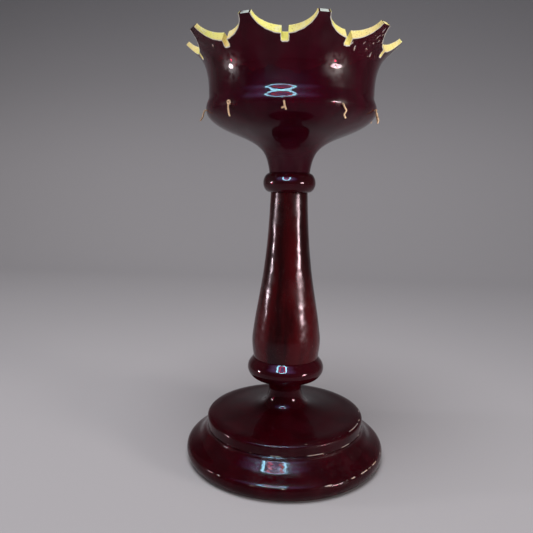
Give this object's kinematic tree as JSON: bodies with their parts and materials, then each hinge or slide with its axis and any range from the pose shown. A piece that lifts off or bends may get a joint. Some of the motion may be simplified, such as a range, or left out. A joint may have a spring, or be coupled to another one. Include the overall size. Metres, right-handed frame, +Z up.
{
  "type": "mantel lustre",
  "caption": "Dark ruby glass mantel lustre with a scalloped, gilt-edged crown bowl, hollow baluster stem, stepped flared foot and loose wire hangers",
  "frame": {"origin": "centre of the resting ring, on the surface that the foot stands on", "axes": "+Z up along the axis of the stem, -Y to the front through the middle of bay 1, +X to the right seen from the front"},
  "size_m": [0.169, 0.1686, 0.3425],
  "materials": {
    "ruby_glass": "polished, almost black in the mass and ruby red where it is thin",
    "gilding": "worn fired gilding, satin",
    "hanger_brass": "tarnished drawn wire"
  },
  "bodies": {
    "root": {"foot": "ruby_glass", "lower_knop": "ruby_glass", "stem": "ruby_glass", "neck_ring": "ruby_glass", "bowl": "ruby_glass", "gilt_edges": "gilding"},
    "wire_01": {"hanger_wire_01": "hanger_brass"},
    "wire_02": {"hanger_wire_02": "hanger_brass"},
    "wire_03": {"hanger_wire_03": "hanger_brass"},
    "wire_04": {"hanger_wire_04": "hanger_brass"},
    "wire_05": {"hanger_wire_05": "hanger_brass"},
    "wire_06": {"hanger_wire_06": "hanger_brass"},
    "wire_07": {"hanger_wire_07": "hanger_brass"},
    "wire_08": {"hanger_wire_08": "hanger_brass"},
    "wire_09": {"hanger_wire_09": "hanger_brass"},
    "wire_10": {"hanger_wire_10": "hanger_brass"}
  },
  "joints": [
    {"name": "wire_01_swing", "type": "hinge", "parent": "root", "child": "wire_01", "pos_m": [0, -0.0635, 0.28695], "axis": [0, -1, 0], "range_deg": [-115, 115]},
    {"name": "wire_02_swing", "type": "hinge", "parent": "root", "child": "wire_02", "pos_m": [0.03732, -0.05137, 0.28695], "axis": [0.5878, -0.809, 0], "range_deg": [-115, 115]},
    {"name": "wire_03_swing", "type": "hinge", "parent": "root", "child": "wire_03", "pos_m": [0.06039, -0.01962, 0.28695], "axis": [0.9511, -0.309, 0], "range_deg": [-115, 115]},
    {"name": "wire_04_swing", "type": "hinge", "parent": "root", "child": "wire_04", "pos_m": [0.06039, 0.01962, 0.28695], "axis": [0.9511, 0.309, 0], "range_deg": [-115, 115]},
    {"name": "wire_05_swing", "type": "hinge", "parent": "root", "child": "wire_05", "pos_m": [0.03732, 0.05137, 0.28695], "axis": [0.5878, 0.809, 0], "range_deg": [-115, 115]},
    {"name": "wire_06_swing", "type": "hinge", "parent": "root", "child": "wire_06", "pos_m": [0, 0.0635, 0.28695], "axis": [0, 1, 0], "range_deg": [-115, 115]},
    {"name": "wire_07_swing", "type": "hinge", "parent": "root", "child": "wire_07", "pos_m": [-0.03732, 0.05137, 0.28695], "axis": [-0.5878, 0.809, 0], "range_deg": [-115, 115]},
    {"name": "wire_08_swing", "type": "hinge", "parent": "root", "child": "wire_08", "pos_m": [-0.06039, 0.01962, 0.28695], "axis": [-0.9511, 0.309, 0], "range_deg": [-115, 115]},
    {"name": "wire_09_swing", "type": "hinge", "parent": "root", "child": "wire_09", "pos_m": [-0.06039, -0.01962, 0.28695], "axis": [-0.9511, -0.309, 0], "range_deg": [-115, 115]},
    {"name": "wire_10_swing", "type": "hinge", "parent": "root", "child": "wire_10", "pos_m": [-0.03732, -0.05137, 0.28695], "axis": [-0.5878, -0.809, 0], "range_deg": [-115, 115]}
  ]
}
